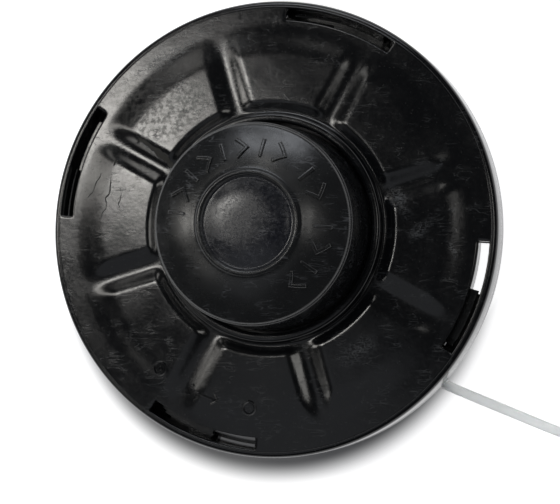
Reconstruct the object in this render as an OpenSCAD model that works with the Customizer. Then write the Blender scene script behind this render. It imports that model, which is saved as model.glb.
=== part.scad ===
// Bump-feed string trimmer head.
// It lies on its gearbox face with the bump knob up. The origin is on the axis at that face,
// and +Z points to the knob. All sizes are in millimetres, all angles in degrees.

/* [Overall] */
// Outer radius of the cover's skirt, the widest part of the head
head_r = 56; // [55:0.5:62]
// Height of the whole head, from its back face to the ring on the knob
head_h = 52.4; // [50:0.2:55]

/* [Cover] */
// Thickness of the cover's plate
cover_t = 2.2; // [1.8:0.1:3]
// Height of the cover from the skirt's lower edge to its front face
skirt_h = 9.3; // [8.8:0.1:10.5]
// Wall of the cover's skirt
skirt_t = 1.6; // [1.2:0.1:2]
// Rounding of the cover's front edge
edge_r = 1.1; // [0.6:0.1:1.5]
// Height of the collar round the knob, above the front face
collar_h = 3; // [1.5:0.25:5]
// Wall of that collar
collar_t = 2.2; // [1.6:0.1:3]

/* [Pads] */
// Number of raised pads on the cover
pad_n = 8; // [6:1:10]
// Radius at which the pads' outer flanks start
pad_r_out = 46.6; // [44:0.2:48]
// Height of a pad at its inner end
pad_h_in = 0.8; // [0.5:0.1:3]
// Height of a pad at its outer end
pad_h_out = 0.6; // [0.4:0.1:2.4]
// Width of the floor of the groove between two pads
groove_w = 1.4; // [0.8:0.1:3]
// Width of the sloped flank round each pad
flank_w = 2.7; // [1.5:0.1:3]
// Direction of the first groove
groove_a = 16; // [0:0.5:44]

/* [Bayonet] */
// Direction of the middle of the first slot
slot_a = 70.5; // [60:0.5:80]
// Width of each slot through the cover's plate
slot_w = 3; // [2:0.1:3.4]
// Arc of each slot
slot_arc = 30.4; // [29:0.2:33]
// Arc of each lug inside the skirt
lug_arc = 12.2; // [9:0.1:12.4]
// Thickness of a lug
lug_t = 2.6; // [1.8:0.1:2.8]
// Thickness of the ledges that hold the lugs
ledge_t = 2; // [1.5:0.1:2.6]
// Turn from locked to open
twist_a = 14; // [13.6:0.1:14.2]

/* [Housing] */
// Wall of the line cup
cup_t = 2.4; // [2:0.1:3]
// Thickness of the cup's floor
floor_t = 3; // [2.4:0.1:4]
// Depth of the seat for the gearbox flange
seat_depth = 2; // [1:0.1:3]
// Radius of that seat
seat_r = 20; // [18:0.5:24]
// Thickness of the flange at the cup's rim
flange_t = 2.9; // [2.4:0.1:3.6]
// Height of the gussets under the flange
gusset_h = 7; // [4:0.5:9]
// Thickness of a gusset
gusset_t = 1.8; // [1.2:0.1:2.4]
// Width across the flats of the steel thread insert
insert_af = 17; // [15:0.5:18]
// Length of the insert
insert_l = 14; // [10:0.5:15]
// Radius of the insert's threaded hole, at the thread's crests
arbor_r = 4.35; // [3.5:0.05:5.5]

/* [Line exit] */
// Height of the eyelets above the back face
eyelet_z = 10.5; // [9:0.25:11.5]
// Radius of the hole through an eyelet
eyelet_r = 1.6; // [1.5:0.05:2.2]
// Wall of an eyelet's tube
eyelet_t = 1.4; // [1:0.1:1.8]
// Radius of an eyelet's outer flange
eyelet_flange_r = 4.8; // [4.4:0.1:5.4]

/* [Spool] */
// Radius of the spool's flanges
spool_r = 44.5; // [42:0.25:44.75]
// Thickness of each of the three flanges
spool_flange_t = 1.8; // [1.4:0.1:2.2]
// Width of each of the two line chambers
chamber_h = 6; // [5.6:0.1:7]
// Wall of the drum that the line is wound on
drum_t = 2.2; // [1.6:0.1:3]
// Radius to which the line is wound
wound_r = 38; // [28:0.5:42]
// Diameter of the trimmer line
line_d = 2.4; // [2:0.1:2.7]

/* [Drive] */
// How far the knob and the spool move when the head is bumped
travel = 4.5; // [4:0.1:5]
// Number of drive lugs, and of teeth in each row
tooth_n = 6; // [6:1:6]
// Arc of a lug and of a tooth
tooth_arc = 12; // [8:0.5:12]
// Height of a drive lug
drive_lug_h = 3.2; // [2.6:0.1:3.4]
// Radial reach of a drive lug from its sleeve
drive_lug_w = 3; // [2.4:0.1:3.2]

/* [Knob] */
// Radius of the knob at its shoulder
knob_r = 24.15; // [22.5:0.05:25]
// Rise of the knob's face from its shoulder to the ring
crown_h = 3.4; // [2.8:0.1:4.4]
// Outer radius of the ring on the knob's face
ring_r = 12.7; // [11:0.1:14]
// Width of that ring
ring_w = 1.4; // [1:0.1:2]
// Height of the ring above the face outside it
ring_h = 0.6; // [0.3:0.1:1]
// Depth of the round recess inside the ring
dish_depth = 0.9; // [0.5:0.1:1.2]
// Rise of the recess's floor from its edge to its middle
dish_rise = 0.6; // [0:0.1:0.7]
// Wall of the knob
knob_t = 2.4; // [1.8:0.1:3]

/* [Spring] */
// Diameter of the spring's wire
wire_d = 1.6; // [1.2:0.1:1.8]
// Number of turns
spring_turns = 8; // [6:1:9]
// Thickness of the steel washer under the spring
washer_t = 1; // [0.6:0.1:1.5]

/* [Clearances] */
// Gap between pieces that slide or turn against each other
run_gap = 0.3; // [0.25:0.05:0.35]
// Gap round the spool in its cup
spool_gap = 1.5; // [1.25:0.05:2]
// Gap between the knob and the cover's collar
knob_gap = 0.6; // [0.4:0.05:1]

/* [Hidden] */
$fn = 96;
overlap = 0.5;

// Heights, from the back face to the top
seat_roof_z = floor_t + seat_depth;
spool_z = seat_roof_z + run_gap + 0.2 + travel;
spool_h = 3*spool_flange_t + 2*chamber_h;
cover_z = spool_z + spool_h + run_gap;
face_z = cover_z + cover_t;
skirt_z = face_z - skirt_h;
flange_z = skirt_z - run_gap - flange_t;
ledge_gap = 1.2;
ledge_z = cover_z - ledge_gap - ledge_t;
lug_z = ledge_z - run_gap - lug_t;

// Radii of the cup, the skirt and the bayonet
cup_r_in = spool_r + spool_gap;
cup_r = cup_r_in + cup_t;
cup_draft = 0.8;
rim_inset = 0.4;
rim_r = head_r - rim_inset;
skirt_r_in = head_r - skirt_t;
slot_r_out = skirt_r_in - 0.2;
slot_r_in = slot_r_out - slot_w;
ledge_r = skirt_r_in - 1.5;
lug_r_in = cup_r + 2*run_gap;
bayonet_n = 4;
lug_a0 = -10.7;
ledge_a0 = -12;
ledge_a1 = lug_a0 + lug_arc + 0.8;
stop_arc = 1.8;
stop_r = slot_r_in - 0.6;
stop_a = lug_a0 + lug_arc + twist_a + 0.6;

// The flange's windows under the slots, with a thin bar between the wide and the narrow one
window_r_in = cup_r + 0.8;
window_r_out = slot_r_out - 1.6;
bar_w = 0.8;

// The post, the cam on it and the drive teeth
insert_r = insert_af/2/cos(30);
post_wall = 1.8;
post_r = insert_r + post_wall;
post_foot_r = post_r + 1.4;
cam_t = 2.4;
cam_r = post_r + cam_t;
cam_z = 12.3;
drive_lug_z = cam_z + 1.7;
cam_h = 1.7 + drive_lug_h + 0.8;
cam_top_z = cam_z + cam_h;
key_n = 3;
key_w = 3;
key_h = 0.9;
post_neck_r = post_r - 2.1;
post_bore_r = 6.5;
post_top_z = cover_z - 0.8;
drive_lug_r = cam_r + drive_lug_w;
tooth_r = cam_r + run_gap + 0.05;
bore_r = drive_lug_r + 0.7;
drum_r = bore_r + drum_t;
tooth_pitch = 360/tooth_n;
// At rest row A stands between the lugs, and half a pitch further on row B takes over
row_a_angle = 22.5;
row_b_angle = row_a_angle - tooth_pitch/2;
row_a_z = drive_lug_z - 0.2;
row_a_h = 0.2 + 0.8*travel;
row_b_z = drive_lug_z + drive_lug_h + 0.69*travel;
row_b_h = 3.7;

// The spool's tower carries the knob, and the spring works inside it
washer_z = cam_top_z;
spring_z = washer_z + washer_t;
spring_r = post_neck_r + 1.2 + wire_d/2;
tower_r_in = spring_r + wire_d/2 + 0.7;
tower_t = 2;
tower_r = tower_r_in + tower_t;
knob_z = head_h - ring_h - crown_h;
crown_z = knob_z + crown_h;
dish_z = crown_z + ring_h - dish_depth;
tower_z = dish_z - knob_t - 0.35 - run_gap;
spring_top_z = tower_z - tower_t;
bead_z = tower_z - 9;
bead_h = 0.5;
knob_foot_z = face_z - 1.5;
knob_foot_r = knob_r + 1.05;
socket_r_in = tower_r + run_gap;
socket_t = 1.9;
hole_r = knob_foot_r + knob_gap;
collar_r = hole_r + collar_t;

// The line's eyelets
eyelet_a = [-45, 135];
boss_r = 6;
boss_x = cup_r + 1;
tube_r = eyelet_r + eyelet_t;
eyelet_flange_t = 1.3;
mouth_r = 1.5;

// The free line: out of the front eyelet, down to the ground and round in its own curl
line_route = [
    [32.8, -32.8, 10.5], [34.9, -34.9, 10.5], [36.2, -36.1, 10.4], [37.8, -37.3, 10.2],
    [40.2, -38.5, 9.9], [45, -40.6, 9.2], [50, -42.7, 8.4], [55, -44.8, 7.5], [60, -46.9, 6.6],
    [65, -49, 5.6], [70, -50.9, 4.7], [75, -52.5, 3.8], [80, -53.7, 3], [85, -54.3, 2.4],
    [90, -54.3, 1.9], [95, -53.5, 1.6], [99.7, -51.8, 1.4], [104, -49.2, 1.3], [107.7, -45.9, 1.3],
    [110.7, -41.9, 1.3], [112.9, -37.4, 1.3], [114.2, -32.6, 1.3], [114.7, -27.6, 1.3],
    [114.4, -22.6, 1.3], [113.4, -17.8, 1.3], [111.7, -13.1, 1.3], [109.3, -8.8, 1.3],
    [106.2, -4.9, 1.3], [102.5, -1.6, 1.3]
];
line_sides = 8;

black = "#17181a";
black_knob = "#1d1e20";
dark_grey = "#2c2d30";
steel = "#9ea2a6";
line_white = "#dfe3e2";

// Points on an arc about a centre, from one angle to another
function arc(x, y, r, a0, a1, n = 6) =
    [for (i = [0:n]) [x + r*cos(a0 + (a1 - a0)*i/n), y + r*sin(a0 + (a1 - a0)*i/n)]];

// A point on a circle, and a round corner between two points
function polar(r, a) = [r*cos(a), r*sin(a)];
function corner(a, b, c, n = 4) =
    [for (i = [0:n]) let (t = i/n) (1 - t)*(1 - t)*a + 2*t*(1 - t)*b + t*t*c];

// The outline of a pad, shrunk by d: two arcs, two sides along the grooves, four round corners
pad_half = 180/pad_n;
pad_r_in = collar_r + 0.6;
pad_corner = 3.2;
function pad_side(r, d) = pad_half - asin((groove_w/2 + d)/r);
function pad_outline(d) =
    let (ri = pad_r_in + d, ro = pad_r_out - d, c = pad_corner)
    let (ai = pad_side(ri, d), ao = pad_side(ro, d), bi = ai - deg(c/ri), bo = ao - deg(c/ro))
    concat(
        corner(polar(ro - c, -pad_side(ro - c, d)), polar(ro, -ao), polar(ro, -bo)),
        [for (i = [1:5]) polar(ro, -bo + 2*bo*i/6)],
        corner(polar(ro, bo), polar(ro, ao), polar(ro - c, pad_side(ro - c, d))),
        corner(polar(ri + c, pad_side(ri + c, d)), polar(ri, ai), polar(ri, bi)),
        [for (i = [1:2]) polar(ri, bi - 2*bi*i/3)],
        corner(polar(ri, -bi), polar(ri, -ai), polar(ri + c, -pad_side(ri + c, d))));
function deg(a) = a*180/PI;

// The height of a pad's top falls evenly from its inner to its outer end
function pad_h(p) =
    pad_h_in + (pad_h_out - pad_h_in)*(norm(p) - pad_r_in)/(pad_r_out - pad_r_in);

// One ring of a loft: the outline shrunk by d, at a share of the pad's height plus an offset
function pad_ring(d, share, offset) = [for (p = pad_outline(d)) [p.x, p.y, offset + share*pad_h(p)]];

// A closed solid through rings that have the same number of points
module loft(rings) {
    n = len(rings[0]);
    m = len(rings);
    sides = [for (k = [0:m - 2], i = [0:n - 1])
        [k*n + i, (k + 1)*n + i, (k + 1)*n + (i + 1) % n, k*n + (i + 1) % n]];
    bottom = [[for (i = [0:n - 1]) i]];
    top = [[for (i = [0:n - 1]) m*n - 1 - i]];
    polyhedron([for (r = rings, p = r) p], concat(sides, bottom, top), convexity = 4);
}

// A block that is part of a ring, between two radii, two heights and two angles
module ring_block(r0, r1, z0, z1, a0, a1) {
    rotate([0, 0, a0])
        rotate_extrude(angle = a1 - a0)
            translate([r0, z0])
                square([r1 - r0, z1 - z0]);
}

// A plain ring
module ring(r0, r1, z0, z1) {
    rotate_extrude()
        translate([r0, z0])
            square([r1 - r0, z1 - z0]);
}

// Tube swept through a route, with rings square to the route
function unit(v) = v/norm(v);
function route_dir(p, i) = unit(p[min(i + 1, len(p) - 1)] - p[max(i - 1, 0)]);
function ring_points(p, i, r, n) =
    let (d = route_dir(p, i), u = unit(cross(d, [0, 0, 1])), v = cross(u, d))
    [for (k = [0:n - 1]) p[i] + r*(cos(360*(k + 0.5)/n)*u + sin(360*(k + 0.5)/n)*v)];
module tube(route, r, n) {
    loft([for (i = [0:len(route) - 1]) ring_points(route, i, r, n)]);
}

// The moulded housing: cup, flange with windows and ledges, gussets and the centre post
module housing() {
    color(black)
        difference() {
            union() {
                rotate_extrude()
                    polygon(housing_profile());
                for (k = [0:bayonet_n - 1])
                    rotate([0, 0, slot_a + 360*k/bayonet_n])
                        bayonet_ledge();
                for (k = [0:bayonet_n - 1], j = [-1:1])
                    gusset(slot_a - 45 + 360*k/bayonet_n + 18*j);
                for (a = eyelet_a)
                    rotate([0, 0, a])
                        translate([cup_r_in + cup_t/2, 0, eyelet_z])
                            rotate([0, 90, 0])
                                cylinder(r = boss_r, h = boss_x - cup_r_in - cup_t/2);
                for (k = [0:key_n - 1])
                    rotate([0, 0, 360*k/key_n])
                        translate([post_r - overlap, -key_w/2, cam_z - overlap])
                            cube([overlap + key_h, key_w, cam_h + overlap]);
            }
            for (k = [0:bayonet_n - 1])
                rotate([0, 0, slot_a + 360*k/bayonet_n])
                    windows();
            for (a = eyelet_a)
                rotate([0, 0, a])
                    translate([cup_r_in - cup_t, 0, eyelet_z])
                        rotate([0, 90, 0])
                            cylinder(r = tube_r, h = 3*cup_t + 1);
            translate([0, 0, seat_depth - overlap])
                rotate([0, 0, 30])
                    cylinder(r = insert_r, h = insert_l + overlap, $fn = 6);
        }
}

// Half section of the housing
function housing_profile() =
    let (foot_r = cup_r - cup_draft, edge = 2, inner = 1.6, back = 1.6, cup_top = ledge_z + ledge_t)
    concat(
        [[seat_r, 0]],
        arc(foot_r - edge, edge, edge, -90, 0),
        [[cup_r, flange_z]],
        arc(rim_r - back, flange_z + back, back, -90, 0),
        [[rim_r, flange_z + flange_t], [cup_r, flange_z + flange_t], [cup_r, cup_top]],
        [[cup_r_in, cup_top]],
        arc(cup_r_in - inner, floor_t + inner, inner, 0, -90),
        [[seat_r + floor_t + seat_depth, floor_t], [seat_r + floor_t, seat_roof_z]],
        [[post_foot_r, seat_roof_z], [post_foot_r, cam_z], [post_r, cam_z], [post_r, cam_top_z]],
        [[post_neck_r, cam_top_z], [post_neck_r, post_top_z - 0.6], [post_neck_r - 0.6, post_top_z]],
        [[post_bore_r, post_top_z], [post_bore_r, seat_depth], [seat_r, seat_depth]]);

// One ledge with the stops at both ends of the lug's way
module bayonet_ledge() {
    flange_top = flange_z + flange_t;
    ring_block(cup_r - overlap, ledge_r, ledge_z, ledge_z + ledge_t, ledge_a0, ledge_a1);
    ring_block(stop_r, ledge_r - 0.4, flange_top - overlap, ledge_z + overlap,
        ledge_a0 - stop_arc, lug_a0 - 0.4);
    ring_block(cup_r - overlap, ledge_r, flange_top - overlap, ledge_z + ledge_t,
        stop_a, stop_a + stop_arc);
}

// The openings in the flange under one slot: a wide one that narrows beside the stop, and a slit
module windows() {
    low = flange_z - 1;
    high = flange_z + flange_t + 1;
    half = slot_arc/2;
    step_a = lug_a0 - 0.1;
    translate([0, 0, low])
        linear_extrude(high - low)
            polygon(concat(
                arc(0, 0, window_r_in, half, -half, 12),
                arc(0, 0, stop_r - 0.3, -half, step_a, 2),
                arc(0, 0, window_r_out, step_a, half, 10)));
    ring_block(window_r_out + bar_w, slot_r_out, low, high, ledge_a1, half);
}

// A thin gusset under the flange, left out where an eyelet is
module gusset(a) {
    free = min([for (e = eyelet_a) abs((a - e + 540) % 360 - 180)]) > 9;
    if (free)
        rotate([0, 0, a])
            translate([0, gusset_t/2, 0])
                rotate([90, 0, 0])
                    linear_extrude(gusset_t)
                        polygon([
                            [cup_r - 1.6, flange_z + overlap], [rim_r - 1.6, flange_z + overlap],
                            [rim_r - 1.6, flange_z - 1], [cup_r - 0.4, flange_z - gusset_h],
                            [cup_r - 1.6, flange_z - gusset_h]]);
}

// The hexagonal steel insert with the left-hand arbor thread, seated in the post
module arbor_insert() {
    color(steel)
        difference() {
            translate([0, 0, seat_depth])
                rotate([0, 0, 30])
                    cylinder(r = insert_r, h = insert_l, $fn = 6);
            translate([0, 0, seat_depth - 1])
                cylinder(r = arbor_r, h = insert_l + 2);
        }
}

// A steel eyelet: a tube through the cup's wall with a flange and a flared mouth
module eyelet(a) {
    x0 = cup_r_in + 0.15;
    x1 = boss_x + eyelet_flange_t;
    rotate([0, 0, a])
        translate([0, 0, eyelet_z])
            rotate([0, 90, 0])
                rotate_extrude()
                    polygon(concat(
                        [[eyelet_r, x0], [tube_r, x0], [tube_r, boss_x], [eyelet_flange_r, boss_x]],
                        arc(eyelet_flange_r - 0.5, x1 - 0.5, 0.5, 0, 90, 4),
                        arc(eyelet_r + mouth_r, x1 - mouth_r, mouth_r, 90, 180, 6)));
}

module line_eyelet_front() {
    color(steel)
        eyelet(eyelet_a[0]);
}

module line_eyelet_rear() {
    color(steel)
        eyelet(eyelet_a[1]);
}

// The cam on the post, with the lugs that the spool's teeth catch on
module drive_cam() {
    color(dark_grey)
        difference() {
            union() {
                ring(post_r - overlap, cam_r, cam_z, cam_top_z);
                for (k = [0:tooth_n - 1])
                    ring_block(cam_r - overlap, drive_lug_r, drive_lug_z, drive_lug_z + drive_lug_h,
                        tooth_pitch*k - tooth_arc/2, tooth_pitch*k + tooth_arc/2);
            }
            translate([0, 0, cam_z - 1])
                cylinder(r = post_r, h = cam_h + 2);
            for (k = [0:key_n - 1])
                rotate([0, 0, 360*k/key_n])
                    translate([post_r - 1, -key_w/2, cam_z - 1])
                        cube([1 + key_h, key_w, cam_h + 2]);
        }
}

// The washer that the spring stands on
module spring_washer() {
    color(steel)
        ring(post_neck_r + run_gap, cam_r - 0.1, washer_z, spring_z);
}

// The compression spring, with its two end turns closed
function spring_height(t) =
    let (closed = 0.9, open = spring_turns - 2*closed, h = spring_top_z - spring_z - wire_d)
    let (end_h = wire_d*0.55, mid_h = h - 2*end_h)
    t < closed ? end_h*t/closed
    : t > spring_turns - closed ? h - end_h*(spring_turns - t)/closed
    : end_h + mid_h*(t - closed)/open;
module return_spring() {
    steps = 18;
    sides = 6;
    n = steps*spring_turns;
    color(steel)
        loft([for (i = [0:n])
            let (t = i/steps, a = 360*t, c = spring_height(t) + spring_z + wire_d/2)
            [for (k = [0:sides - 1])
                let (b = 360*k/sides, r = spring_r + wire_d/2*cos(b))
                [r*cos(a), r*sin(a), c + wire_d/2*sin(b)]]]);
}

// The spool: drum with three flanges, two rows of teeth in its bore and the knob's tower
module spool() {
    top_z = spool_z + spool_h;
    color(dark_grey)
        difference() {
            union() {
                rotate_extrude()
                    polygon([
                        [bore_r, spool_z], [spool_r, spool_z],
                        [spool_r, spool_z + spool_flange_t], [drum_r, spool_z + spool_flange_t],
                        [drum_r, spool_z + spool_flange_t + chamber_h],
                        [spool_r, spool_z + spool_flange_t + chamber_h],
                        [spool_r, spool_z + 2*spool_flange_t + chamber_h],
                        [drum_r, spool_z + 2*spool_flange_t + chamber_h],
                        [drum_r, top_z - spool_flange_t], [spool_r, top_z - spool_flange_t],
                        [spool_r, top_z], [tower_r, top_z], [tower_r, bead_z - bead_h],
                        [tower_r + bead_h, bead_z], [tower_r, bead_z + bead_h],
                        [tower_r, tower_z - 0.8], [tower_r - 0.8, tower_z], [3, tower_z],
                        [3, spring_top_z], [tower_r_in, spring_top_z],
                        [tower_r_in, top_z - spool_flange_t], [bore_r, top_z - spool_flange_t]]);
                tooth_row(row_a_z, row_a_h, row_a_angle);
                tooth_row(row_b_z, row_b_h, row_b_angle);
            }
            for (a = [0, 180], r = [spool_r])
                rotate([0, 0, a])
                    translate([r, 0, spool_z + spool_flange_t + overlap])
                        cylinder(r = line_d, h = spool_h);
        }
}

// One row of teeth, pointing inward from the wall of the spool's bore
module tooth_row(z, h, turn) {
    for (k = [0:tooth_n - 1])
        ring_block(tooth_r, bore_r + overlap, z, z + h,
            turn + tooth_pitch*k - tooth_arc/2, turn + tooth_pitch*k + tooth_arc/2);
}

// The line wound in one chamber, with its outer turns showing as ridges
module wound_line(z) {
    turns = floor(chamber_h/line_d);
    pitch = chamber_h/turns;
    rotate_extrude()
        polygon(concat(
            [[drum_r, z], [wound_r - line_d/2, z]],
            [for (i = [0:turns - 1], p = arc(wound_r - line_d/2, z + pitch*(i + 0.5), line_d/2, -80, 80)) p],
            [[wound_r - line_d/2, z + chamber_h], [drum_r, z + chamber_h]]));
}

module wound_line_lower() {
    color(line_white)
        wound_line(spool_z + spool_flange_t);
}

module wound_line_upper() {
    color(line_white)
        wound_line(spool_z + 2*spool_flange_t + chamber_h);
}

// The front cover: plate with pads, slots and collar, and a skirt with the bayonet lugs inside
module cover() {
    color(black)
        difference() {
            union() {
                rotate_extrude()
                    polygon(cover_profile());
                for (k = [0:pad_n - 1])
                    rotate([0, 0, groove_a + pad_half + 360*k/pad_n])
                        loft([
                            pad_ring(0, 0, face_z - overlap), pad_ring(0, 0, face_z + 0.05),
                            pad_ring(0.12*flank_w, 0.12, face_z), pad_ring(0.8*flank_w, 0.86, face_z),
                            pad_ring(flank_w, 1, face_z)]);
                for (k = [0:bayonet_n - 1])
                    rotate([0, 0, slot_a + 360*k/bayonet_n])
                        ring_block(lug_r_in, skirt_r_in + overlap, lug_z, lug_z + lug_t,
                            lug_a0, lug_a0 + lug_arc);
            }
            for (k = [0:bayonet_n - 1])
                rotate([0, 0, slot_a + 360*k/bayonet_n])
                    ring_block(slot_r_in, slot_r_out, cover_z - 1, face_z + 1, -slot_arc/2, slot_arc/2);
            for (k = [0:pad_n - 1])
                rotate([0, 0, groove_a + pad_half + 360*k/pad_n])
                    loft([pad_ring(0.8*cover_t, 0, cover_z - 1), pad_ring(0.8*cover_t, 0, cover_z),
                        pad_ring(0.8*cover_t + flank_w, 0.9, cover_z)]);
        }
}

// Half section of the cover without its pads
function cover_profile() =
    let (step = 0.25, bead_r = head_r - edge_r - 0.2)
    concat(
        [[hole_r, cover_z], [skirt_r_in, cover_z], [skirt_r_in, skirt_z + 0.3]],
        [[skirt_r_in + 0.3, skirt_z], [head_r - 0.4, skirt_z], [head_r, skirt_z + 0.4]],
        arc(head_r - edge_r, face_z - step - edge_r, edge_r, 0, 90),
        [[bead_r, face_z - step], [bead_r - step, face_z], [collar_r + 0.8, face_z]],
        [[collar_r, face_z + 0.8]],
        arc(collar_r - 0.8, face_z + collar_h - 0.8, 0.8, 0, 90, 4),
        arc(hole_r + 0.8, face_z + collar_h - 0.8, 0.8, 90, 180, 4));

// The bump knob: a hollow cap that snaps over the spool's tower and slides in the collar
module bump_knob() {
    ribs = 6;
    rib_t = 1.6;
    color(black_knob)
        union() {
            rotate_extrude()
                polygon(knob_profile());
            for (k = [0:ribs - 1])
                rotate([0, 0, 360*k/ribs])
                    translate([0, rib_t/2, 0])
                        rotate([90, 0, 0])
                            linear_extrude(rib_t)
                                polygon([
                                    [socket_r_in + socket_t/2, knob_z - knob_t + 0.6],
                                    [knob_r - knob_t/2, knob_z - knob_t],
                                    [knob_r - knob_t/2, knob_z - 9],
                                    [socket_r_in + socket_t/2, knob_z - 13]]);
        }
}

// Half section of the knob
function knob_profile() =
    let (fillet = 1.4, ceiling = dish_z - knob_t - 0.35, socket_z = bead_z - 4)
    let (side_r = knob_r - knob_t, foot_in = knob_foot_r - knob_t, lead = 0.7)
    let (dish_r = ring_r - ring_w - 0.7, steps = 6)
    concat(
        [[0, ceiling]],
        [for (i = [0:steps]) [dish_r*i/steps, dish_z + dish_rise*(1 - pow(i/steps, 2))]],
        [[ring_r - ring_w, dish_z + dish_depth - 0.2]],
        [[ring_r - ring_w + 0.2, crown_z + ring_h], [ring_r - 0.2, crown_z + ring_h]],
        [[ring_r + 0.3, crown_z]],
        [[ring_r + 0.45*(knob_r - ring_r), crown_z - 0.36*crown_h]],
        arc(knob_r - fillet - 0.1, knob_z - fillet + 0.1, fillet, 66, 0),
        [[knob_foot_r, knob_foot_z + 0.5], [knob_foot_r - 0.5, knob_foot_z]],
        [[foot_in, knob_foot_z], [side_r, knob_z - knob_t - 0.6]],
        [[side_r - 1, knob_z - knob_t], [socket_r_in + socket_t, ceiling - 0.9]],
        [[socket_r_in + socket_t, socket_z], [socket_r_in + lead, socket_z]],
        [[socket_r_in, socket_z + lead], [socket_r_in, bead_z - 1.3]],
        [[socket_r_in + bead_h, bead_z - 0.5], [socket_r_in + bead_h, bead_z + 0.5]],
        [[socket_r_in, bead_z + 1.3], [socket_r_in, ceiling]]);

// The free end of the line
module trimmer_line() {
    color(line_white)
        tube(line_route, line_d/2, line_sides);
}

housing();
arbor_insert();
line_eyelet_front();
line_eyelet_rear();
drive_cam();
spring_washer();
return_spring();
spool();
wound_line_lower();
wound_line_upper();
cover();
bump_knob();
trimmer_line();
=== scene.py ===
"""Looks for the bump-feed trimmer head: camera, free line, marks, materials, studio."""
import math

import bmesh
import bpy
from mathutils import Matrix, Vector
from mathutils.bvhtree import BVHTree


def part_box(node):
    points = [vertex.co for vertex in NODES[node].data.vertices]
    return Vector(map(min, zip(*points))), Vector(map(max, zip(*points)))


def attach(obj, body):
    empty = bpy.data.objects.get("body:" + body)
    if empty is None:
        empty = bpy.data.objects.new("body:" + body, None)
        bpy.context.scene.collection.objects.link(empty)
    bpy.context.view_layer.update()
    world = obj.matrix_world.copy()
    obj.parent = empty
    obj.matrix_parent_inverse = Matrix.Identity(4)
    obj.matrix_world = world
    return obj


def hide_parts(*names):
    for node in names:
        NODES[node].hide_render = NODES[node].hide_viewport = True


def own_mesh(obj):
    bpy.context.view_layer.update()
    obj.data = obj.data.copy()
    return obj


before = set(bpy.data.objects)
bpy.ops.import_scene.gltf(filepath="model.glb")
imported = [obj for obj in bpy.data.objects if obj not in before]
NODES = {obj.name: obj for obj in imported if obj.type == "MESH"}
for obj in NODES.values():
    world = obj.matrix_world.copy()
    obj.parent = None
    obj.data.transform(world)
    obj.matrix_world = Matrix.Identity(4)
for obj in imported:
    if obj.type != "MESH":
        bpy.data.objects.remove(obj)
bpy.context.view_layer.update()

MM = 0.001
scene = bpy.context.scene
scene.view_settings.view_transform = "Standard"

# Camera, fitted to the outline, the slots and the knob
CAMERA_TARGET = Vector((0, 0, 30)) * MM
CAMERA_DISTANCE = 560 * MM
CAMERA_TURN = math.radians(-13.96)
CAMERA_TILT = math.radians(14.75)
CAMERA_LENS = 147.34
CAMERA_SHIFT = (0.0175, -0.0429)


def make_camera():
    data = bpy.data.cameras.new("camera")
    data.sensor_width = 36
    data.lens = CAMERA_LENS
    data.shift_x, data.shift_y = CAMERA_SHIFT
    data.clip_start, data.clip_end = 0.01, 100
    camera = bpy.data.objects.new("camera", data)
    scene.collection.objects.link(camera)
    away = Vector((
        math.sin(CAMERA_TILT) * math.cos(CAMERA_TURN),
        math.sin(CAMERA_TILT) * math.sin(CAMERA_TURN),
        math.cos(CAMERA_TILT),
    ))
    right = Vector((0, 1, 0)).cross(away).normalized()
    turned = Matrix((right, away.cross(right), away)).transposed().to_4x4()
    camera.matrix_world = Matrix.Translation(CAMERA_TARGET + away * CAMERA_DISTANCE) @ turned
    scene.camera = camera


# The free end of the line: out of the front eyelet, down to the floor and round in its own curl
LINE_DIAMETER = 2.4 * MM
LINE_ROUTE = [
    (32.8, -32.8, 10.5), (34.9, -34.9, 10.5), (36.2, -36.1, 10.4), (37.8, -37.3, 10.2),
    (40.2, -38.5, 9.9), (45, -40.6, 9.2), (50, -42.7, 8.4), (55, -44.8, 7.5), (60, -46.9, 6.6),
    (65, -49, 5.6), (70, -50.9, 4.7), (75, -52.5, 3.8), (80, -53.7, 3), (85, -54.3, 2.4),
    (90, -54.3, 1.9), (95, -53.5, 1.6), (99.7, -51.8, 1.4), (104, -49.2, 1.3), (107.7, -45.9, 1.3),
    (110.7, -41.9, 1.3), (112.9, -37.4, 1.3), (114.2, -32.6, 1.3), (114.7, -27.6, 1.3),
    (114.4, -22.6, 1.3), (113.4, -17.8, 1.3), (111.7, -13.1, 1.3), (109.3, -8.8, 1.3),
    (106.2, -4.9, 1.3), (102.5, -1.6, 1.3),
]


def make_line():
    curve = bpy.data.curves.new("trimmer_line_strand", "CURVE")
    curve.dimensions = "3D"
    curve.bevel_depth = 1.0            # each point's own radius then gives the thickness
    curve.bevel_resolution = 5
    curve.resolution_u = 5
    curve.use_fill_caps = True
    spline = curve.splines.new("BEZIER")
    spline.bezier_points.add(len(LINE_ROUTE) - 1)
    for point, place in zip(spline.bezier_points, LINE_ROUTE):
        point.co = Vector(place) * MM
        point.radius = LINE_DIAMETER / 2
        point.handle_left_type = point.handle_right_type = "AUTO"
    strand = bpy.data.objects.new("trimmer_line_strand", curve)
    scene.collection.objects.link(strand)
    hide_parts("trimmer_line")
    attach(strand, "housing")
    return strand


make_camera()
line_strand = make_line()


# Materials: colours as sRGB hex, one helper for nodes, patterns in millimetres
def linear(hex_colour):
    """An sRGB hex colour as the linear colour that the shaders take."""
    parts = [int(hex_colour[i:i + 2], 16) / 255 for i in (1, 3, 5)]
    return tuple(c / 12.92 if c <= 0.04045 else ((c + 0.055) / 1.055) ** 2.4 for c in parts) + (1.0,)


def put(tree, kind, feeds=None, **settings):
    """Adds a node, sets its settings, and feeds its inputs with values or other nodes' outputs."""
    node = tree.nodes.new(kind)
    for name, value in settings.items():
        setattr(node, name, value)
    for name, value in (feeds or {}).items():
        if isinstance(value, bpy.types.NodeSocket):
            tree.links.new(value, node.inputs[name])
        else:
            node.inputs[name].default_value = value
    return node


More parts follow.
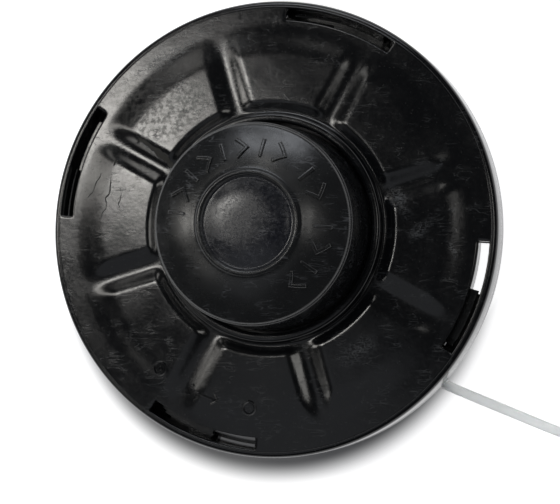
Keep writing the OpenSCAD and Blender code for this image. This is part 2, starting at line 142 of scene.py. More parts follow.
def new_material(name, **values):
    """A material with one Principled shader, with the given constant values on its sockets."""
    material = bpy.data.materials.new(name)
    material.use_nodes = True
    tree = material.node_tree
    shader = tree.nodes["Principled BSDF"]
    for socket, value in values.items():
        shader.inputs[socket.replace("_", " ")].default_value = value
    return material, tree, shader


def object_mm(tree):
    """The object's own coordinates, in millimetres."""
    place = put(tree, "ShaderNodeTexCoord")
    return put(tree, "ShaderNodeMapping", {"Vector": place.outputs["Object"],
                                           "Scale": (1 / MM, 1 / MM, 1 / MM)}).outputs[0]


def blotches(tree, mm, size, low, high, detail=2.0):
    """Noise of that size, from 0 below low to 1 above high."""
    noise = put(tree, "ShaderNodeTexNoise", {"Vector": mm, "Scale": 1 / size, "Detail": detail})
    return put(tree, "ShaderNodeMapRange", {"Value": noise.outputs[0], "From Min": low,
                                            "From Max": high}).outputs[0]


def hairlines(tree, mm, turn, length, spacing, width, seed):
    """Long thin wavy scratches in one direction: the narrow middle band of a stretched noise."""
    laid = put(tree, "ShaderNodeMapping", {"Vector": mm, "Location": (seed, seed, 0),
                                           "Rotation": (0, 0, math.radians(turn)),
                                           "Scale": (1 / length, 1 / spacing, 1 / length)})
    noise = put(tree, "ShaderNodeTexNoise", {"Vector": laid.outputs[0], "Scale": 1.0, "Detail": 1.0})
    off = put(tree, "ShaderNodeMath", {0: noise.outputs[0], 1: 0.5}, operation="SUBTRACT")
    off = put(tree, "ShaderNodeMath", {0: off.outputs[0]}, operation="ABSOLUTE")
    return put(tree, "ShaderNodeMapRange", {"Value": off.outputs[0], "From Min": 0.0,
                                            "From Max": width, "To Min": 1.0,
                                            "To Max": 0.0}).outputs[0]


def spot(tree, mm, x, y, length, width, turn=0.0, soft=1.0, z=30.0, depth=40.0):
    """An elliptical mark on the surface, 1 in its middle and 0 outside it."""
    laid = put(tree, "ShaderNodeMapping", {"Vector": mm, "Location": (x, y, z),
                                           "Rotation": (0, 0, math.radians(turn)),
                                           "Scale": (length / 2, width / 2, depth)},
               vector_type="TEXTURE")
    ball = put(tree, "ShaderNodeTexGradient", {"Vector": laid.outputs[0]}, gradient_type="SPHERICAL")
    return put(tree, "ShaderNodeMapRange", {"Value": ball.outputs["Fac"], "From Min": 0.0,
                                            "From Max": soft}).outputs[0]


def wander(tree, mm, size, reach):
    """The same place moved about by a slow noise, so that straight marks come out crooked."""
    noise = put(tree, "ShaderNodeTexNoise", {"Vector": mm, "Scale": 1 / size, "Detail": 1.0}).outputs[1]
    off = put(tree, "ShaderNodeVectorMath", {0: noise, 1: (0.5, 0.5, 0.5)}, operation="SUBTRACT")
    far = put(tree, "ShaderNodeVectorMath", {0: off.outputs[0], 1: (reach, reach, 0)}, operation="MULTIPLY")
    return put(tree, "ShaderNodeVectorMath", {0: mm, 1: far.outputs[0]}).outputs[0]


def combine(tree, operation, *masks):
    """Several masks joined by one Math operation."""
    result = masks[0]
    for mask in masks[1:]:
        result = put(tree, "ShaderNodeMath", {0: result, 1: mask}, operation=operation).outputs[0]
    return result


def between(tree, mask, low, high):
    """A value that goes from low to high with a mask."""
    return put(tree, "ShaderNodeMapRange", {"Value": mask, "To Min": low, "To Max": high}).outputs[0]


def tint(tree, mask, below, above):
    """One colour below the mask and another where it is 1."""
    mix = put(tree, "ShaderNodeMix", {0: mask, 6: below, 7: above}, data_type="RGBA")
    return mix.outputs[2]


def bump(tree, height, depth_mm, under=None):
    """A bump whose height 1 stands depth_mm proud, over another bump if there is one."""
    feeds = {"Height": height, "Distance": abs(depth_mm) * MM, "Strength": 1.0}
    if under is not None:
        feeds["Normal"] = under
    return put(tree, "ShaderNodeBump", feeds, invert=depth_mm < 0).outputs[0]


def nylon_surface(tree, shader, mm, base, worn, rough_low, rough_high, scratch, seed=0.0):
    """Injection-moulded nylon: a glossy skin with slow waves, dull patches, hairlines and dust.
    Returns the masks and the bump, for a material that adds marks of its own."""
    patches = blotches(tree, mm, 7.0, 0.40, 0.70, 4.0)
    speckle = blotches(tree, mm, 0.9, 0.35, 0.7, 3.0)
    lines = combine(tree, "MAXIMUM",
                    hairlines(tree, mm, 24, 9, 1.5, 0.016, 3.1 + seed),
                    hairlines(tree, mm, 81, 7, 1.3, 0.016, 7.7 + seed),
                    hairlines(tree, mm, -38, 8, 1.7, 0.018, 12.4 + seed))
    sparse = combine(tree, "MULTIPLY", lines, blotches(tree, mm, 4.0, 0.50, 0.62, 3.0))
    dust = blotches(tree, mm, 0.42, 0.76, 0.84, 0.0)
    waves = put(tree, "ShaderNodeTexNoise", {"Vector": mm, "Scale": 1 / 5.0, "Detail": 1.0}).outputs[0]
    colour = tint(tree, combine(tree, "MULTIPLY", sparse, scratch), linear(base), linear(worn))
    colour = tint(tree, combine(tree, "MULTIPLY", dust, 0.1), colour, linear("#7d7c78"))
    rough = combine(tree, "ADD", between(tree, patches, rough_low, rough_high),
                    between(tree, speckle, 0.0, 0.04), between(tree, sparse, 0.0, 0.08))
    raised = bump(tree, waves, 0.02)
    raised = bump(tree, speckle, 0.003, raised)
    raised = bump(tree, sparse, -0.0025, raised)
    tree.links.new(colour, shader.inputs["Base Color"])
    tree.links.new(rough, shader.inputs["Roughness"])
    tree.links.new(raised, shader.inputs["Normal"])
    return colour, rough, raised


def cover_nylon():
    """Black nylon, moulded in a polished tool: near black with a clear gloss that scuffs dull."""
    material, tree, shader = new_material("black_nylon_polished", IOR=1.53)
    mm = object_mm(tree)
    colour, rough, raised = nylon_surface(tree, shader, mm, "#0b0c0e", "#5b5e60", 0.11, 0.16, 0.16)
    crooked, jagged = wander(tree, mm, 2.6, 2.2), wander(tree, mm, 1.2, 0.7)
    gouge = combine(tree, "MAXIMUM",
                    spot(tree, jagged, -30.4, 20.6, 8.8, 1.3, -36, 0.25),
                    spot(tree, jagged, -27.6, 18.4, 6.0, 2.0, -40, 0.25),
                    spot(tree, jagged, -25.6, 16.4, 3.0, 1.5, -60, 0.25),
                    spot(tree, crooked, -33.5, 21.9, 1.3, 0.6, 30, 0.4),
                    spot(tree, crooked, -39.6, 16.7, 1.5, 0.6, 48, 0.4))
    cuts = combine(tree, "MAXIMUM",
                   spot(tree, crooked, -41.5, 9.8, 8.5, 0.30, 78, 0.5),
                   spot(tree, crooked, -44.6, 12.2, 5.0, 0.26, 66, 0.5),
                   spot(tree, crooked, -46.4, 9.4, 4.4, 0.24, 52, 0.5),
                   spot(tree, crooked, -38.3, 7.6, 6.0, 0.26, 82, 0.5),
                   spot(tree, crooked, -42.7, 4.6, 4.4, 0.22, 70, 0.5))
    grain = combine(tree, "MAXIMUM", blotches(tree, mm, 0.6, 0.5, 0.62, 3.0),
                    hairlines(tree, mm, 33, 2.6, 0.8, 0.05, 2.2),
                    hairlines(tree, mm, -52, 2.4, 0.7, 0.05, 6.4))
    rub = combine(tree, "MULTIPLY",
                  combine(tree, "MAXIMUM", spot(tree, crooked, 45.3, -6.3, 6.5, 2.2, -65),
                          spot(tree, crooked, 32, 6.1, 13, 5, -60),
                          spot(tree, crooked, 37.3, -1.2, 9, 4, 40),
                          spot(tree, crooked, 45, 3.4, 3, 1.4, 20),
                          spot(tree, crooked, 42.1, 14.7, 4, 1.6, 60),
                          combine(tree, "MULTIPLY", 0.5, spot(tree, crooked, -10, 45, 16, 8, 10)),
                          spot(tree, crooked, -26, 43, 26, 5, 28),
                          spot(tree, crooked, 22, -30, 14, 7, 35)),
                  grain)
    mottle = combine(tree, "MULTIPLY", blotches(tree, mm, 1.1, 0.45, 0.62, 5.0),
                     spot(tree, crooked, -27, 31, 26, 22, 40, 0.4))
    colour = tint(tree, combine(tree, "MULTIPLY", rub, 0.2), colour, linear("#70757a"))
    colour = tint(tree, gouge, colour, linear("#1f1e19"))
    rough = combine(tree, "ADD", rough, between(tree, gouge, 0.0, 0.4),
                    between(tree, cuts, 0.0, 0.3), between(tree, rub, 0.0, 0.16),
                    between(tree, mottle, 0.0, 0.10))
    raised = bump(tree, gouge, -0.12, raised)
    raised = bump(tree, cuts, -0.03, raised)
    raised = bump(tree, mottle, -0.004, raised)
    tree.links.new(colour, shader.inputs["Base Color"])
    tree.links.new(rough, shader.inputs["Roughness"])
    tree.links.new(raised, shader.inputs["Normal"])
    return material


def knob_nylon():
    """Black nylon that rubs on the ground: greyer, finely scratched, its recess a little blue."""
    material, tree, shader = new_material("black_nylon_ground_worn", IOR=1.53)
    mm = object_mm(tree)
    colour, rough, raised = nylon_surface(tree, shader, mm, "#191a1b", "#7a7c80", 0.21, 0.31, 0.24, 5.0)
    recess = spot(tree, mm, 0, 0, 23.4, 23.4, 0, 0.08, 51.5, 4.0)
    fine = combine(tree, "MAXIMUM",
                   hairlines(tree, mm, 12, 3.5, 1.1, 0.012, 1.7),
                   hairlines(tree, mm, 72, 3.0, 1.0, 0.012, 4.9),
                   hairlines(tree, mm, 131, 3.2, 1.2, 0.012, 9.2))
    fine = combine(tree, "MULTIPLY", fine, blotches(tree, mm, 2.2, 0.5, 0.6), recess)
    grime = combine(tree, "MULTIPLY", blotches(tree, mm, 0.8, 0.42, 0.75, 4.0), recess)
    specks = combine(tree, "MULTIPLY", blotches(tree, mm, 0.33, 0.7, 0.78, 0.0), recess)
    colour = tint(tree, combine(tree, "MULTIPLY", recess, 0.8), colour, linear("#10121a"))
    colour = tint(tree, combine(tree, "MULTIPLY", grime, 0.03), colour, linear("#6d7080"))
    colour = tint(tree, combine(tree, "MULTIPLY", combine(tree, "MAXIMUM", fine, specks), 0.10), colour,
                  linear("#858890"))
    rough = combine(tree, "ADD", rough, between(tree, grime, 0.0, 0.10), between(tree, fine, 0.0, 0.1),
                    between(tree, recess, 0.0, -0.07))
    raised = bump(tree, fine, -0.0015, raised)
    tree.links.new(colour, shader.inputs["Base Color"])
    tree.links.new(rough, shader.inputs["Roughness"])
    tree.links.new(raised, shader.inputs["Normal"])
    return material


def housing_nylon():
    """Black nylon as moulded, with fewer scratches because it faces the gearbox."""
    material, tree, shader = new_material("black_nylon_moulded", IOR=1.53)
    nylon_surface(tree, shader, object_mm(tree), "#0f1011", "#5c5d5c", 0.15, 0.24, 0.1, 9.0)
    return material


def grey_nylon():
    """Dark grey nylon of the running parts: matt, from a textured tool."""
    material, tree, shader = new_material("dark_grey_nylon_matt", IOR=1.53)
    mm = object_mm(tree)
    speckle = blotches(tree, mm, 0.35, 0.3, 0.7, 3.0)
    patches = blotches(tree, mm, 9.0, 0.35, 0.65)
    tree.links.new(tint(tree, patches, linear("#292a2d"), linear("#323336")),
                   shader.inputs["Base Color"])
    tree.links.new(between(tree, speckle, 0.45, 0.6), shader.inputs["Roughness"])
    tree.links.new(bump(tree, speckle, 0.006), shader.inputs["Normal"])
    return material


def turned_steel(name, base, low, high):
    """Zinc-plated steel, turned: fine rings round the axis and a slightly clouded plating."""
    material, tree, shader = new_material(name, Metallic=1.0)
    mm = object_mm(tree)
    rings = put(tree, "ShaderNodeTexNoise", {
        "Vector": put(tree, "ShaderNodeMapping", {"Vector": mm, "Scale": (0.2, 0.2, 6.0)}).outputs[0],
        "Scale": 1.0, "Detail": 3.0}).outputs[0]
    clouds = blotches(tree, mm, 2.5, 0.35, 0.65, 3.0)
    tree.links.new(tint(tree, clouds, linear(base), linear("#8e9296")), shader.inputs["Base Color"])
    tree.links.new(between(tree, combine(tree, "MULTIPLY", rings, clouds), low, high),
                   shader.inputs["Roughness"])
    tree.links.new(bump(tree, rings, 0.01), shader.inputs["Normal"])
    return material


def monofilament(name):
    """Clear-white extruded nylon line: milky and translucent, with a soft drawn gloss."""
    material, tree, shader = new_material(name, IOR=1.53, Subsurface_Weight=0.2,
                                          Subsurface_Scale=1.5 * MM, Transmission_Weight=0.75)
    mm = object_mm(tree)
    milk = blotches(tree, mm, 3.0, 0.3, 0.7, 2.0)
    tree.links.new(tint(tree, milk, linear("#e8ebea"), linear("#f4f6f5")), shader.inputs["Base Color"])
    tree.links.new(between(tree, milk, 0.3, 0.42), shader.inputs["Roughness"])
    return material


def paint(obj, material):
    """Gives an object that material in every slot it has."""
    obj.data.materials.clear()
    obj.data.materials.append(material)


cover_skin, knob_skin, housing_skin = cover_nylon(), knob_nylon(), housing_nylon()
matt_grey = grey_nylon()
plated_steel = turned_steel("zinc_plated_steel", "#b4b8bb", 0.22, 0.4)
spring_steel = turned_steel("drawn_spring_steel", "#8b8d90", 0.28, 0.45)
strand_nylon = monofilament("clear_nylon_line")
for name, material in {
    "housing": housing_skin, "arbor_insert": plated_steel, "line_eyelet_front": plated_steel,
    "line_eyelet_rear": plated_steel, "drive_cam": matt_grey, "spring_washer": plated_steel,
    "return_spring": spring_steel, "spool": matt_grey, "wound_line_lower": strand_nylon,
    "wound_line_upper": strand_nylon, "cover": cover_skin, "bump_knob": knob_skin,
}.items():
    paint(NODES[name], material)
paint(line_strand, strand_nylon)


# The cover, with the same measures as the part's source, mm, and with soft flanks and fine edges
FACE_Z, PLATE_Z, SKIRT_Z = 29.9, 27.7, 20.6
HEAD_R, SKIRT_R_IN, HOLE_R, COLLAR_R, COLLAR_TOP = 56.0, 54.4, 25.8, 28.0, 32.9
SLOT_R_IN, SLOT_R_OUT, SLOT_ARC, SLOT_TURN = 51.2, 54.2, 30.4, 70.5
PAD_R_IN, PAD_R_OUT, PAD_SEAT_R_OUT, PAD_COUNT = 28.6, 46.6, 50.2, 8
PAD_RISE_IN, PAD_RISE_OUT = 0.8, 0.6
GROOVE_HALF, GROOVE_TURN, FLANK, INNER_FLANK, OUTER_FLANK = 0.7, 16.0, 3.7, 3.0, 7.8
LUG_R_IN, LUG_R_OUT, LUG_Z, LUG_TOP, LUG_START, LUG_ARC = 49.0, 54.9, 21.6, 24.2, -10.7, 12.2


def round_corner(r, z, radius, start, end, steps=6):
    """Points on a rounded edge of a section, from one angle to the other, in degrees."""
    return [(r + radius * math.cos(math.radians(start + (end - start) * k / steps)),
             z + radius * math.sin(math.radians(start + (end - start) * k / steps)))
            for k in range(steps + 1)]


def stations(start, end, count):
    return [start + (end - start) * k / count for k in range(count + 1)]


def ease(place, width):
    """A soft step: 0 at the start of a flank, 1 past its width."""
    share = min(max(place / width, 0), 1)
    return share * share * (3 - 2 * share)


def pad_rise(r, turn):
    """How far a pad stands above the plate there; its flanks are soft."""
    pitch = 360 / PAD_COUNT
    from_groove = pitch / 2 - abs((turn - GROOVE_TURN) % pitch - pitch / 2)
    side = r * math.sin(math.radians(from_groove)) - GROOVE_HALF
    outwards = min(max((r - PAD_R_IN) / (PAD_R_OUT - PAD_R_IN), 0), 1)
    rise = PAD_RISE_IN + (PAD_RISE_OUT - PAD_RISE_IN) * outwards
    return (rise * ease(side + GROOVE_HALF / 2, FLANK + GROOVE_HALF)
            * ease(PAD_SEAT_R_OUT - r, OUTER_FLANK) * ease(r - PAD_R_IN, INNER_FLANK))


def cover_section():
    """The closed half section of the cover, without pads, from the hole outwards and back over the face."""
    band = stations(SLOT_R_IN, SLOT_R_OUT, 4)
    under = stations(HOLE_R, SLOT_R_IN, 26)[:-1] + band + [SKIRT_R_IN]
    face = stations(COLLAR_R + 0.8, SLOT_R_IN, 44)[:-1] + band
    return ([(r, PLATE_Z) for r in under]
            + [(SKIRT_R_IN, 24.5), (SKIRT_R_IN, SKIRT_Z + 0.3), (SKIRT_R_IN + 0.3, SKIRT_Z),
               (HEAD_R - 0.4, SKIRT_Z), (HEAD_R, SKIRT_Z + 0.4), (HEAD_R, 24.5)]
            + round_corner(HEAD_R - 1.1, FACE_Z - 1.35, 1.1, 0, 90)
            + round_corner(HEAD_R - 1.5, FACE_Z - 0.25, 0.25, 0, 90, 3)
            + [(r, FACE_Z) for r in reversed(face)]
            + round_corner(COLLAR_R + 0.8, FACE_Z + 0.8, 0.8, 270, 180, 4)[1:]
            + round_corner(COLLAR_R - 0.8, COLLAR_TOP - 0.8, 0.8, 0, 90)
            + round_corner(HOLE_R + 0.8, COLLAR_TOP - 0.8, 0.8, 90, 180))


def cut_slots(bm):
    """Opens the four arc slots, walls them from face to underside and breaks their upper edges."""
    def in_slot(place):
        off = (math.degrees(math.atan2(place.y, place.x)) - SLOT_TURN + 45) % 90 - 45
        return SLOT_R_IN < math.hypot(place.x, place.y) < SLOT_R_OUT and abs(off) < SLOT_ARC / 2
    opened = [f for f in bm.faces if f.calc_center_median().z > PLATE_Z - 0.1
              and in_slot(f.calc_center_median())]
    bmesh.ops.delete(bm, geom=opened, context="FACES")
    open_edges = [e for e in bm.edges if e.is_boundary]
    upper = [e for e in open_edges if e.verts[0].co.z > FACE_Z - 0.1]
    for quarter in range(4):
        middle = Matrix.Rotation(math.radians(SLOT_TURN + 90 * quarter), 3, "Z") @ Vector((1, 0, 0))
        bmesh.ops.bridge_loops(bm, edges=[e for e in open_edges
                                          if e.verts[0].co.xy.normalized().dot(middle.xy) > 0.8])
    bmesh.ops.bevel(bm, geom=upper, offset=0.2, segments=2, profile=0.5, affect="EDGES", material=-1)


def add_lugs(bm):
    """The four bayonet lugs inside the skirt."""
    for quarter in range(4):
        corners = [bm.verts.new((r, 0, z)) for r, z in (
            (LUG_R_IN, LUG_Z), (LUG_R_OUT, LUG_Z), (LUG_R_OUT, LUG_TOP), (LUG_R_IN, LUG_TOP))]
        end = bm.faces.new(corners)
        bmesh.ops.rotate(bm, verts=corners, matrix=Matrix.Rotation(
            math.radians(SLOT_TURN + LUG_START + 90 * quarter), 3, "Z"))
        bmesh.ops.spin(bm, geom=[end], axis=(0, 0, 1), angle=math.radians(LUG_ARC), steps=12)


def start_section(points):
    """A bmesh that holds one closed half section, standing on the X axis."""
    bm = bmesh.new()
    corners = [bm.verts.new((r, 0, z)) for r, z in points]
    for start, end in zip(corners, corners[1:] + corners[:1]):
        bm.edges.new((start, end))
    return bm


def finish_part(name, bm, node, body, material, sharp):
    """Turns a bmesh in millimetres into the piece that stands for a node."""
    bmesh.ops.recalc_face_normals(bm, faces=bm.faces)
    bmesh.ops.scale(bm, verts=bm.verts, vec=(MM, MM, MM))
    mesh = bpy.data.meshes.new(name)
    bm.to_mesh(mesh)
    bm.free()
    mesh.shade_smooth()
    mesh.set_sharp_from_angle(angle=math.radians(sharp))
    piece = bpy.data.objects.new(name, mesh)
    scene.collection.objects.link(piece)
    paint(piece, material)
    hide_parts(node)
    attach(piece, body)
    return piece


def make_cover():
    """Turns the section slot by slot, so that every slot ends on a row of the mesh."""
    bm = start_section(cover_section())
    bmesh.ops.rotate(bm, verts=bm.verts, matrix=Matrix.Rotation(
        math.radians(SLOT_TURN - SLOT_ARC / 2), 3, "Z"))
    last = bm.verts[:] + bm.edges[:]
    for arc, steps in ((SLOT_ARC, 34), (90 - SLOT_ARC, 66)) * 4:
        last = bmesh.ops.spin(bm, geom=last, axis=(0, 0, 1), angle=math.radians(arc),
                              steps=steps)["geom_last"]
    bmesh.ops.remove_doubles(bm, verts=bm.verts, dist=0.001)
    cut_slots(bm)
    for vert in bm.verts:
        if PLATE_Z - 0.01 < vert.co.z < FACE_Z + 0.01:
            turn = math.degrees(math.atan2(vert.co.y, vert.co.x))
            vert.co.z += pad_rise(math.hypot(vert.co.x, vert.co.y), turn)
    add_lugs(bm)
    return finish_part("front_cover", bm, "cover", "cover", cover_skin, 50)


# The knob, with the measures of the part's source, mm, its crown one smooth curve
KNOB_R, KNOB_FOOT_R, KNOB_FOOT_Z = 24.15, 25.2, 28.4
DISH_R, DISH_Z, DISH_RISE, RING_MIDDLE, RING_TOP = 10.6, 51.5, 0.6, 12.0, 52.4
CROWN_START, CROWN_END, CROWN_Z, CROWN_SLOPE, CROWN_BEND = 13.2, 23.22, 51.8, 0.176, 0.0157
SOCKET_R_IN, SOCKET_R_OUT, SOCKET_Z, SNAP_Z, CEILING_Z = 15.315, 17.215, 35.45, 39.45, 48.75
RIB_COUNT, RIB_T = 6, 1.6


def knob_section():
    """The closed half section of the knob: recess, ring, crown, edge bead, skirt, inside, socket."""
    dish = [(r, DISH_Z + DISH_RISE * (1 - (r / DISH_R) ** 4)) for r in stations(0, DISH_R, 14)]
    ring = [(RING_MIDDLE + across, RING_TOP - down) for across, down in (
        (-1.1, 0.9), (-0.85, 0.72), (-0.68, 0.38), (-0.4, 0.1), (0, 0), (0.4, 0.1), (0.68, 0.34),
        (0.9, 0.52))]
    crown = [(r, CROWN_Z - CROWN_SLOPE * (r - 13) - CROWN_BEND * (r - 13) ** 2)
             for r in stations(CROWN_START, CROWN_END, 14)]
    edge = round_corner(KNOB_R - 1.5, 47.1, 1.4, 60, 0)
    bead = [(KNOB_R + 0.1, 46.95), (KNOB_R + 0.15, 46.75), (KNOB_R + 0.1, 46.55), (KNOB_R - 0.04, 46.4)]
    skirt = [(KNOB_FOOT_R, KNOB_FOOT_Z + 0.5), (KNOB_FOOT_R - 0.15, KNOB_FOOT_Z + 0.15),
             (KNOB_FOOT_R - 0.5, KNOB_FOOT_Z), (KNOB_FOOT_R - 2.4, KNOB_FOOT_Z)]
    inside = [(KNOB_R - 2.4, 45.4), (KNOB_R - 3.4, 46.0), (SOCKET_R_OUT, CEILING_Z - 0.9),
              (SOCKET_R_OUT, SOCKET_Z), (SOCKET_R_IN + 0.7, SOCKET_Z), (SOCKET_R_IN, SOCKET_Z + 0.7),
              (SOCKET_R_IN, SNAP_Z - 1.3), (SOCKET_R_IN + 0.5, SNAP_Z - 0.5),
              (SOCKET_R_IN + 0.5, SNAP_Z + 0.5), (SOCKET_R_IN, SNAP_Z + 1.3),
              (SOCKET_R_IN, CEILING_Z), (0, CEILING_Z)]
    return dish + ring + crown + edge + bead + skirt + inside


def make_knob():
    bm = start_section(knob_section())
    bmesh.ops.spin(bm, geom=bm.verts[:] + bm.edges[:], axis=(0, 0, 1), angle=math.tau, steps=192,
                   use_merge=True)
    bmesh.ops.remove_doubles(bm, verts=bm.verts, dist=0.001)
    bmesh.ops.delete(bm, geom=[e for e in bm.edges if not e.link_faces or e.calc_length() < 0.0001],
                     context="EDGES")
    for k in range(RIB_COUNT):
        side = bm.faces.new([bm.verts.new((r, -RIB_T / 2, z)) for r, z in (
            (SOCKET_R_OUT - 0.95, 46.6), (KNOB_R - 1.2, 46.0), (KNOB_R - 1.2, 39.4),
            (SOCKET_R_OUT - 0.95, 35.6))])
        grown = bmesh.ops.extrude_face_region(bm, geom=[side])["geom"]
        far = [g for g in grown if isinstance(g, bmesh.types.BMVert)]
        bmesh.ops.translate(bm, verts=far, vec=(0, RIB_T, 0))
        bmesh.ops.rotate(bm, verts=far + side.verts[:], matrix=Matrix.Rotation(
            math.tau * k / RIB_COUNT, 3, "Z"))
    return finish_part("knob_cap", bm, "bump_knob", "knob", knob_skin, 40)


# The return spring, with the solid's wire, turns and closed ends
WIRE, SPRING_TURNS, CLOSED_TURNS, CLOSED_RISE, TURN_STEPS = 1.6, 8, 0.9, 0.88, 36


def make_spring():
    """A coil spring standing on its washer."""
    low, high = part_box("return_spring")
    height = (high[2] - low[2]) / MM
    bm = bmesh.new()
    bmesh.ops.create_circle(bm, cap_ends=True, segments=12, radius=WIRE / 2)
    bmesh.ops.rotate(bm, verts=bm.verts, matrix=Matrix.Rotation(math.pi / 2, 3, "X"))
    bmesh.ops.translate(bm, verts=bm.verts, vec=(high[0] / MM - WIRE / 2, 0, low[2] / MM + WIRE / 2))
    last = bm.faces[:]
    open_turns = SPRING_TURNS - 2 * CLOSED_TURNS
    for turns, rise in ((CLOSED_TURNS, CLOSED_RISE), (open_turns, height - WIRE - 2 * CLOSED_RISE),
                        (CLOSED_TURNS, CLOSED_RISE)):
        steps = round(turns * TURN_STEPS)
        grown = bmesh.ops.spin(bm, geom=last, axis=(0, 0, 1), angle=math.tau * turns, steps=steps,
                               dvec=(0, 0, rise / steps))["geom_last"]
        last = [g for g in grown if isinstance(g, bmesh.types.BMFace)]
    spring = finish_part("return_spring_coil", bm, "return_spring", "housing", spring_steel, 60)
    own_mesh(spring)


front_cover = make_cover()
knob_cap = make_knob()
make_spring()


# Raised marks, drawn flat as u along the circle and v outwards, then laid on the surface below
SUNK = 0.12           # how deep a mark starts below the surface, mm
MARK_ROUNDING = 0.26


def add_part(bm, part, u, v, turn=0.0):
    """Turns a finished part about its own middle, moves it to (u, v) and joins it to the rest."""
    bmesh.ops.rotate(part, verts=part.verts, matrix=Matrix.Rotation(math.radians(turn), 3, "Z"))
    bmesh.ops.translate(part, verts=part.verts, vec=(u, v, 0))
    holder = bpy.data.meshes.new("part")
    part.to_mesh(holder)
    part.free()
    bm.from_mesh(holder)
    bpy.data.meshes.remove(holder)


def stroke(bm, u, v, length, width, turn, top):
    """A straight raised stroke with rounded upper edges, cut across so that it can bend."""
    part = bmesh.new()
    bmesh.ops.create_cube(part, size=1)
    bmesh.ops.scale(part, verts=part.verts, vec=(length, width, SUNK + top))
    bmesh.ops.translate(part, verts=part.verts, vec=(0, 0, (top - SUNK) / 2))
    upper = [e for e in part.edges if min(vert.co.z for vert in e.verts) > 0]
    bmesh.ops.bevel(part, geom=upper, offset=MARK_ROUNDING, segments=3, profile=0.5,
                    affect="EDGES", material=-1)
    for cut in range(1, int(length)):
        bmesh.ops.bisect_plane(part, geom=part.verts[:] + part.edges[:] + part.faces[:],
                               plane_co=(cut - length / 2, 0, 0), plane_no=(1, 0, 0))
    add_part(bm, part, u, v, turn)


def chevron(bm, u, v, width, height, thick, top):
    """Two strokes that meet in a point, like an arrowhead along u."""
    lean = math.degrees(math.atan2(height / 2, width))
    length = math.hypot(width, height / 2) + 0.8 * thick
    for side in (1, -1):
        stroke(bm, u, v + side * (height / 4 - 0.05), length, thick, -side * lean, top)


def circle(bm, u, v, radius, thick, top):
    """A raised ring, turned from its section."""
    part = bmesh.new()
    section = [part.verts.new((r, 0, z)) for r, z in (
        (radius - thick, -SUNK), (radius, -SUNK), (radius, top - MARK_ROUNDING),
        (radius - MARK_ROUNDING, top), (radius - thick + MARK_ROUNDING, top),
        (radius - thick, top - MARK_ROUNDING))]
    for start, end in zip(section, section[1:] + section[:1]):
        part.edges.new((start, end))
    bmesh.ops.spin(part, geom=part.verts[:] + part.edges[:], axis=(0, 0, 1), angle=math.tau,
                   steps=24, use_merge=True)
    add_part(bm, part, u, v)


KNOB_MARK_GROUPS = ((-52, 4, 16), (22, 2, 17), (64, 4, 15.5), (125, 4, 15.5))


def finish_marks(name, bm, radius, angle, carrier, body, material):
    """Wraps the flat marks round the axis, drops them on the carrier and makes the object."""
    surface = BVHTree.FromObject(carrier, bpy.context.evaluated_depsgraph_get())
    for vert in bm.verts:
        u, v, up = vert.co
        turn = math.radians(angle) - u / radius
        place = Vector(((radius + v) * math.cos(turn), (radius + v) * math.sin(turn), 0)) * MM
        hit = surface.ray_cast(place + Vector((0, 0, 0.1)), Vector((0, 0, -1)))[0]
        vert.co = Vector((place.x, place.y, hit.z + up * MM))
    bmesh.ops.recalc_face_normals(bm, faces=bm.faces)
    mesh = bpy.data.meshes.new(name)
    bm.to_mesh(mesh)
    bm.free()
    marks = bpy.data.objects.new(name, mesh)
    scene.collection.objects.link(marks)
    paint(marks, material)
    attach(marks, body)
    return marks


def make_knob_marks():
    """Groups of raised arrowheads and bars round the knob's face."""
    bm = bmesh.new()
    radius, thick, top = 18.0, 0.85, 0.45
    for first, count, pitch in KNOB_MARK_GROUPS:
        for k in range(count):
            u = -math.radians(first + k * pitch) * radius
            if k % 2:
                stroke(bm, u, 0, 4.4, thick, 90, top)
            else:
                chevron(bm, u, 0, 2.4, 4.4, thick, top)
    return finish_marks("knob_marks", bm, radius, 0, knob_cap, "knob", knob_skin)


def make_lock_marks():
    """A ring, a two-way arrow and a dotted ring beside the third slot: open and locked."""
    bm = bmesh.new()
    radius, thick, top = 44.2, 0.6, 0.3
    circle(bm, -12.5, 0, 1.9, thick + 0.1, top + 0.1)
    circle(bm, 12.5, 0, 1.9, thick + 0.1, top + 0.1)
    circle(bm, 12.5, 0, 0.75, 0.7, top + 0.1)
    stroke(bm, 0, 0, 8.4, thick, 0, top)
    for side in (1, -1):
        for lean in (1, -1):
            stroke(bm, side * 3.55, lean * 0.75, 1.9, thick, -side * lean * 45, top)
    return finish_marks("lock_marks", bm, radius, 247, front_cover, "cover", cover_skin)


make_knob_marks()
make_lock_marks()


# Studio: a pale floor with shades painted round the head, a soft box at the upper left and a broad light
# from the far side
DEEP_SHADE = (-6, 10, 0)           # middle of the deep shade painted under the head, black as in the photo's slot
CONTACT_SHADE = (-6.5, -5.5, 0)    # middle of the soft shade painted below the head
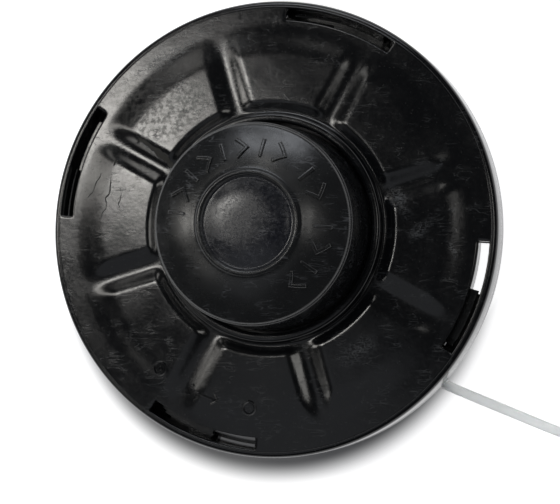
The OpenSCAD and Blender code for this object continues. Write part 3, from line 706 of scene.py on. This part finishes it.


def make_floor():
    """A white floor with a soft shade painted below the head and a deep shade painted where the top slot
    looks on it.
    """
    mesh = bpy.data.meshes.new("floor")
    bm = bmesh.new()
    bmesh.ops.create_grid(bm, x_segments=1, y_segments=1, size=12)
    bmesh.ops.translate(bm, verts=bm.verts, vec=(0, 0, -0.05 * MM))
    bm.to_mesh(mesh)
    bm.free()
    floor = bpy.data.objects.new("floor", mesh)
    scene.collection.objects.link(floor)
    material = bpy.data.materials.new("studio_floor_paper")
    material.use_nodes = True
    tree = material.node_tree
    tree.nodes.clear()
    mm = object_mm(tree)
    under, beside = (put(tree, "ShaderNodeVectorMath", {0: mm, 1: middle},
                         operation="DISTANCE").outputs["Value"] for middle in (DEEP_SHADE, CONTACT_SHADE))
    open_floor = put(tree, "ShaderNodeMapRange", {"Value": under, "From Min": 48.5, "From Max": 52.0},
                     interpolation_type="SMOOTHSTEP").outputs[0]
    lit = put(tree, "ShaderNodeMapRange", {"Value": beside, "From Min": 52.5, "From Max": 60.0},
              interpolation_type="SMOOTHSTEP").outputs[0]
    across = put(tree, "ShaderNodeSeparateXYZ", {0: mm}).outputs["Y"]
    behind = put(tree, "ShaderNodeMapRange", {"Value": across, "From Min": -36.0,
                                              "From Max": -14.0},
                 interpolation_type="SMOOTHSTEP").outputs[0]
    lit = combine(tree, "MAXIMUM", lit, behind)
    # The shades are painted: they darken the floor's colour and dim its glow, whatever the lamps do.
    shade = combine(tree, "MULTIPLY", open_floor, between(tree, lit, 0.35, 1.0))
    paper = put(tree, "ShaderNodeBsdfDiffuse", {"Color": tint(tree, shade, linear("#1c1c1c"),
                                                              linear("#e0e0e0"))})
    glow = put(tree, "ShaderNodeEmission", {"Color": (1, 1, 1, 1), "Strength": combine(
        tree, "MULTIPLY", seen(tree), open_floor, between(tree, lit, 0.02, 0.9))})
    both = put(tree, "ShaderNodeAddShader", {0: paper.outputs[0], 1: glow.outputs[0]})
    put(tree, "ShaderNodeOutputMaterial", {"Surface": both.outputs[0]})
    paint(floor, material)


def seen(tree):
    """1 for rays from the camera, off a gloss and through a clear part, and 0 for diffuse light."""
    path = put(tree, "ShaderNodeLightPath")
    return combine(tree, "MAXIMUM", path.outputs["Is Camera Ray"], path.outputs["Is Glossy Ray"],
                   path.outputs["Is Transmission Ray"])


def make_world():
    """White near the horizon and dark overhead, as in a studio with a black ceiling."""
    world = bpy.data.worlds.new("studio")
    scene.world = world
    world.use_nodes = True
    tree = world.node_tree
    tree.nodes.clear()
    way = put(tree, "ShaderNodeTexCoord").outputs["Generated"]
    height = put(tree, "ShaderNodeSeparateXYZ", {0: way}).outputs["Z"]
    ceiling = put(tree, "ShaderNodeMapRange", {"Value": height, "From Min": 0.08, "From Max": 0.3,
                                               "To Min": 1.0, "To Max": 0.03}).outputs[0]
    backdrop = put(tree, "ShaderNodeBackground", {"Color": (1, 1, 1, 1), "Strength": ceiling})
    fill = put(tree, "ShaderNodeBackground", {"Color": linear("#f4f7ff"), "Strength": 0.28})
    mix = put(tree, "ShaderNodeMixShader", {0: seen(tree), 1: fill.outputs[0],
                                            2: backdrop.outputs[0]})
    put(tree, "ShaderNodeOutputWorld", {"Surface": mix.outputs[0]})


def soft_light(name, place, width, height, watts, colour):
    """A rectangular light that faces the head."""
    data = bpy.data.lights.new(name, "AREA")
    data.shape = "RECTANGLE"
    data.size, data.size_y = width, height
    data.energy = watts
    data.color = linear(colour)[:3]
    light = bpy.data.objects.new(name, data)
    scene.collection.objects.link(light)
    place = Vector(place)
    light.matrix_world = (Matrix.Translation(place)
                          @ (place - CAMERA_TARGET).to_track_quat("Z", "Y").to_matrix().to_4x4())
    return light


make_floor()
make_world()
soft_light("key_softbox", (-0.292, 0.111, 0.80), 0.080, 0.10, 0.31, "#fffcf6")
soft_light("key_halo", (-0.295, 0.110, 0.80), 0.15, 0.18, 0.10, "#ffffff")
soft_light("key_side_softbox", (-0.45, 0.13, 0.80), 0.08, 0.18, 0.24, "#fffcf6")
soft_light("left_softbox", (-0.73, 0.080, 0.77), 0.18, 0.16, 0.72, "#fffcf6")
soft_light("lower_left_softbox", (-0.51, -0.22, 0.78), 0.12, 0.10, 0.12, "#fffdf8")
soft_light("far_left_softbox", (-0.36, 0.34, 0.80), 0.10, 0.12, 0.08, "#fffdf8")
soft_light("north_softbox", (-0.100, 0.46, 0.80), 0.11, 0.13, 0.17, "#fffdf8")
soft_light("right_softbox", (0.185, 0.06, 0.80), 0.14, 0.13, 0.19, "#fffdf8")
soft_light("back_light", (-0.04, 0.62, 0.60), 0.50, 0.24, 1.5, "#f4f8ff")
soft_light("front_fill", (-0.20, -0.26, 0.80), 0.35, 0.45, 0.15, "#f4f8ff")

bpy.context.view_layer.update()
